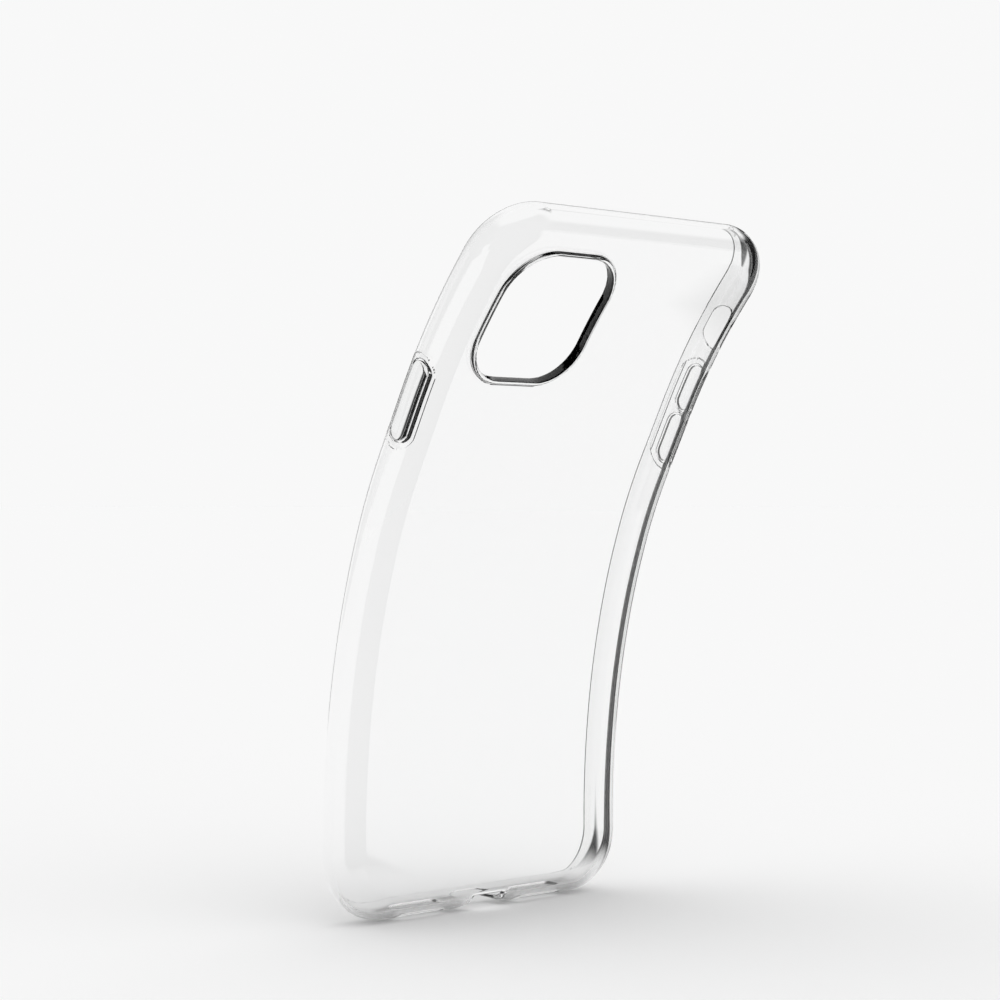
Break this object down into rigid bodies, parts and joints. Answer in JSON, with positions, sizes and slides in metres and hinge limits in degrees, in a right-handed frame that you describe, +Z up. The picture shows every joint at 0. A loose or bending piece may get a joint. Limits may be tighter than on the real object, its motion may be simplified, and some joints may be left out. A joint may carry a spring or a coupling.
{
  "type": "phone case",
  "caption": "Clear soft phone case, peeled back along its length, with a camera opening, raised rim, lip and button pads.",
  "frame": {"origin": "on the inner face of the back, where the phone rests, 13 mm above the phone's bottom end on the case's middle line", "axes": "+X across the case to the right as seen from behind, the volume side; +Y from the back face towards the screen; +Z up along the case, towards the camera end"},
  "size_m": [0.0782, 0.0542, 0.1389],
  "materials": {
    "clear_tpu": "clear, water white and glossy"
  },
  "bodies": {
    "base": {"base_back_panel": "clear_tpu", "base_left_rail": "clear_tpu", "base_right_rail": "clear_tpu", "bottom_left_corner": "clear_tpu", "bottom_right_corner": "clear_tpu", "bottom_wall": "clear_tpu"},
    "flex_1": {"flex_1_back_band": "clear_tpu", "flex_1_left_rail": "clear_tpu", "flex_1_right_rail": "clear_tpu"},
    "flex_2": {"flex_2_back_band": "clear_tpu", "flex_2_left_rail": "clear_tpu", "flex_2_right_rail": "clear_tpu"},
    "flex_3": {"flex_3_back_band": "clear_tpu", "flex_3_left_rail": "clear_tpu", "flex_3_right_rail": "clear_tpu"},
    "button_band": {"button_band_panel": "clear_tpu", "camera_rim_lower": "clear_tpu", "side_button_rail": "clear_tpu", "volume_rail": "clear_tpu"},
    "top": {"camera_panel": "clear_tpu", "camera_rim_upper": "clear_tpu", "top_left_rail": "clear_tpu", "mute_switch_rail": "clear_tpu", "top_left_corner": "clear_tpu", "top_right_corner": "clear_tpu", "top_wall": "clear_tpu"},
    "side_button": {"side_button_pad": "clear_tpu"},
    "volume_up": {"volume_up_pad": "clear_tpu"},
    "volume_down": {"volume_down_pad": "clear_tpu"}
  },
  "joints": [
    {"name": "peel_1", "type": "hinge", "parent": "base", "child": "flex_1", "pos_m": [0, 0.0093, 0.011], "axis": [1, 0, 0], "range_deg": [-5.8, 2.32], "stiffness_Nm_per_rad": 1.5, "springref_deg": -5.8},
    {"name": "peel_2", "type": "hinge", "parent": "flex_1", "child": "flex_2", "pos_m": [0, 0.00718, 0.03189], "axis": [1, 0, 0], "range_deg": [-6.2, 2.48], "stiffness_Nm_per_rad": 1.5, "springref_deg": -6.2},
    {"name": "peel_3", "type": "hinge", "parent": "flex_2", "child": "flex_3", "pos_m": [0, 0.00292, 0.05194], "axis": [1, 0, 0], "range_deg": [-6.8, 2.72], "stiffness_Nm_per_rad": 1.5, "springref_deg": -6.8},
    {"name": "peel_4", "type": "hinge", "parent": "flex_3", "child": "button_band", "pos_m": [0, -0.00353, 0.07088], "axis": [1, 0, 0], "range_deg": [-8.6, 3.44], "stiffness_Nm_per_rad": 1.5, "springref_deg": -8.6},
    {"name": "peel_5", "type": "hinge", "parent": "button_band", "child": "top", "pos_m": [0, -0.02051, 0.10364], "axis": [1, 0, 0], "range_deg": [-12, 4.8], "stiffness_Nm_per_rad": 1.5, "springref_deg": -12},
    {"name": "side_button_press", "type": "slide", "parent": "button_band", "child": "side_button", "axis": [1, 0, 0], "range_m": [0, 0.0005], "stiffness_N_per_m": 1500},
    {"name": "volume_up_press", "type": "slide", "parent": "button_band", "child": "volume_up", "axis": [-1, 0, 0], "range_m": [0, 0.0005], "stiffness_N_per_m": 1500},
    {"name": "volume_down_press", "type": "slide", "parent": "button_band", "child": "volume_down", "axis": [-1, 0, 0], "range_m": [0, 0.0005], "stiffness_N_per_m": 1500}
  ],
  "couplings": [
    {"joint": "peel_2", "follows": "peel_1", "ratio": 1.069},
    {"joint": "peel_3", "follows": "peel_1", "ratio": 1.1724},
    {"joint": "peel_4", "follows": "peel_1", "ratio": 1.4828},
    {"joint": "peel_5", "follows": "peel_1", "ratio": 2.069}
  ]
}
